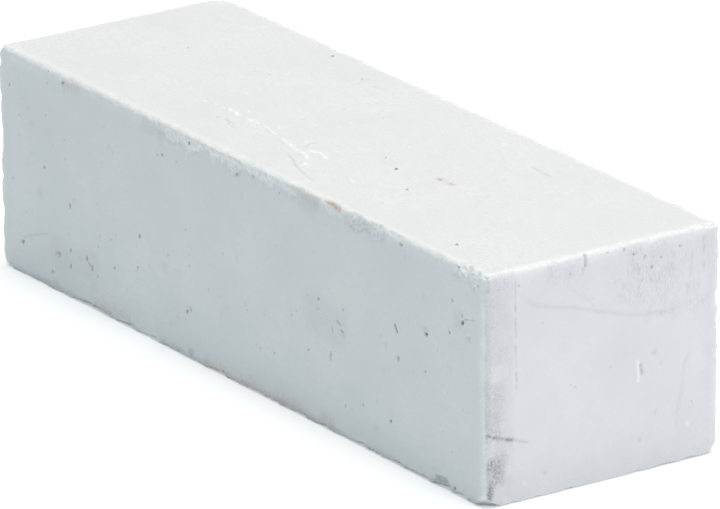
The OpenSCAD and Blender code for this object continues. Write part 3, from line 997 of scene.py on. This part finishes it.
def chalk_marks(s, noises, colour):
    """What the carving left: broken faces with dirt and painted shade in their crumbs, powder and polish that
    also carry painted highlights, dirt with some painted shade, ticks, rust, and pits darkened with dirt and
    painted shade.
    """
    # Broken faces are flecked darker, with dirt and painted shade in their crumbs, and paler.
    crumbs = s.mix(s.ramp(noises["flecks"], 0.40, 0.60), CRUMB_DIRT_AND_SHADE, CHALK_BRIGHT)
    colour = s.mix(s.times(s.mark("broken"), 0.8), colour, crumbs)
    # Powder on the worn edges and the scar floors, partly real and partly a painted highlight.
    powder_and_highlight = s.times(s.mark("powder_and_highlight"), s.ramp(noises["flecks"], 0.38, 0.62, 0.55, 1.15))
    colour = s.mix(powder_and_highlight, colour, CHALK_BRIGHT)
    # Pale, glossy marks, lightened further as a painted highlight on the crease and the end's ridge.
    colour = s.mix(s.mark("pale_gloss_and_highlight"), colour, CHALK_BRIGHT)
    # Dirt, and the painted shade beside the end's ridge, along the front's foot and on the base under it.
    dirt_and_painted_shade = s.times(s.mark("dirt_and_painted_shade"), s.ramp(noises["stipple"], 0.36, 0.64, 0.45, 1.10))
    colour = s.mix(dirt_and_painted_shade, colour, DIRT_AND_SHADE)
    patches = s.ramp(noises["curds"], 0.35, 0.62, 0.35, 1.0)
    upright = s.ramp(noises["upright"], 0.36, 0.66)
    ticks = s.times(s.times(s.mark("ticks"), patches), upright)
    colour = s.mix(ticks, colour, DIRT_AND_SHADE)
    rust = s.times(s.mark("rust"), s.ramp(noises["flecks"], 0.40, 0.60, 0.30, 1.0))
    colour = s.mix(rust, colour, RUST)
    # Pits and the slit darken with dirt and painted shade, and the grains with their own dark colour.
    return s.mix(s.mark("pit"), colour, DARK_GRAIN_PIT_DIRT_AND_SHADE)


def chalk_relief(s, noises):
    """The grain too fine for the mesh, as a bump."""
    curds = s.times(noises["curds"], 0.5)
    grain = s.times(noises["grain"], 0.25)
    wiped = s.times(s.mark("grain"), s.times(noises["wiped"], 0.30))
    relief = s.maths("ADD", s.maths("ADD", curds, grain), wiped)
    inputs = {"Height": relief, "Strength": BUMP_STRENGTH, "Distance": BUMP_DISTANCE * MM}
    return s.node("Bump", inputs).outputs["Normal"]


def chalk_roughness(s, noises):
    """Dull chalk, a little glossier where it is polished."""
    dull = s.ramp(noises["curds"], 0.3, 0.7, *DULL_ROUGHNESS)
    inputs = {"Factor": s.mark("pale_gloss_and_highlight"), 2: dull, 3: POLISHED_ROUGHNESS}
    return s.node("Mix", inputs, data_type="FLOAT").outputs[0]


def chalk_material():
    """Matt pressed chalk: faint clouds and specks, dirt that has caught in its marks, painted shade in its
    pits, crumbs and foot, painted highlights on its crease, ridge and worn edges, and a fine grain.
    """
    s = Shader("chalk")
    spot = s.node("TexCoord").outputs["Object"]
    noises = {}
    for name, kind in NOISES.items():
        noises[name] = s.noise(s.turned(spot, kind.turn, kind.stretch), kind.per_metre, kind.detail)
    return s.surface({
        "Base Color": chalk_marks(s, noises, chalk_specks(s, spot, chalk_body(s, noises))),
        "Roughness": chalk_roughness(s, noises),
        "Specular IOR Level": 0.35,
        "Normal": chalk_relief(s, noises),
    })


def floor_material():
    """White paper on a faint light table."""
    return Shader("floor").surface({
        "Base Color": (0.93, 0.93, 0.93, 1.0),
        "Roughness": 0.9,
        "Emission Color": (1.0, 1.0, 1.0, 1.0),
        "Emission Strength": FLOOR_GLOW,
    })


# ---- The studio ----

CAMERA_AZIMUTH = 55.69      # degrees round from -Y towards +X
CAMERA_ELEVATION = 19.52    # degrees above the floor
CAMERA_ROLL = -0.24         # degrees
CAMERA_DISTANCE = 1967.9    # from the middle of the bar
CAMERA_SHIFT = (2.2, -2.3)  # how far the camera stands to the right of the bar's middle and above it
CAMERA_LENS = 468.1         # focal length, on a sensor 36 mm wide
FLOOR_SIZE = 30000.0

# A lamp is a square soft box: its azimuth and elevation as for the camera, its distance, its width, its
# colour, and its power in watts.
Lamp = namedtuple("Lamp", "name azimuth elevation distance width colour power")
LAMPS = [
    Lamp("overhead", 180.0, 87.0, 1600.0, 1400.0, (1.0, 0.892, 0.810), 30.9),
    Lamp("end_fill", 115.0, 30.0, 1600.0, 900.0, (1.0, 0.837, 0.926), 6.9),
]
WORLD_COLOUR = (0.05, 0.68, 1.0)
WORLD_STRENGTH = 0.192


def facing(azimuth, elevation, roll=0.0):
    """The right, up and backward directions of a thing that looks at the bar from there."""
    a, e, r = (math.radians(angle) for angle in (azimuth, elevation, roll))
    back = Vector((math.sin(a) * math.cos(e), -math.cos(a) * math.cos(e), math.sin(e)))
    right = Vector((math.cos(a), math.sin(a), 0))
    up = back.cross(right)
    return right * math.cos(r) + up * math.sin(r), up * math.cos(r) - right * math.sin(r), back


def stand(thing, distance, axes, shift=(0, 0)):
    """Stands a lamp or a camera at a distance from the bar's middle, looking along its axes."""
    right, up, back = axes
    spot = Vector(CENTRE) + back * distance + right * shift[0] + up * shift[1]
    thing.matrix_world = Matrix.Translation(spot * MM) @ Matrix((right, up, back)).transposed().to_4x4()
    bpy.context.scene.collection.objects.link(thing)


def make_camera():
    lens = bpy.data.cameras.new("camera")
    lens.lens = CAMERA_LENS
    lens.clip_end = 100.0
    camera = bpy.data.objects.new("camera", lens)
    stand(camera, CAMERA_DISTANCE, facing(CAMERA_AZIMUTH, CAMERA_ELEVATION, CAMERA_ROLL), CAMERA_SHIFT)
    bpy.context.scene.camera = camera


def make_lamps():
    for lamp in LAMPS:
        light = bpy.data.lights.new(lamp.name, "AREA")
        light.size = lamp.width * MM
        light.color = lamp.colour
        light.energy = lamp.power
        stand(bpy.data.objects.new(lamp.name, light), lamp.distance, facing(lamp.azimuth, lamp.elevation))


def make_world():
    world = bpy.data.worlds.new("studio")
    world.use_nodes = True
    background = world.node_tree.nodes["Background"]
    background.inputs["Color"].default_value = (*WORLD_COLOUR, 1.0)
    background.inputs["Strength"].default_value = WORLD_STRENGTH
    bpy.context.scene.world = world
    bpy.context.scene.view_settings.view_transform = "Standard"


def make_floor():
    reach = FLOOR_SIZE / 2 * MM
    mesh = bpy.data.meshes.new("floor")
    corners = [(-reach, -reach, 0), (reach, -reach, 0), (reach, reach, 0), (-reach, reach, 0)]
    mesh.from_pydata(corners, [], [(0, 1, 2, 3)])
    mesh.materials.append(floor_material())
    floor = bpy.data.objects.new("floor", mesh)
    bpy.context.scene.collection.objects.link(floor)


# ---- Putting it together ----

def make_bar():
    bar = make_mesh("chalk_bar", *carved_bar())
    bar.data.materials.append(chalk_material())
    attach(bar, "root")
    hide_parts("chalk_block")


make_bar()
make_floor()
make_lamps()
make_world()
make_camera()
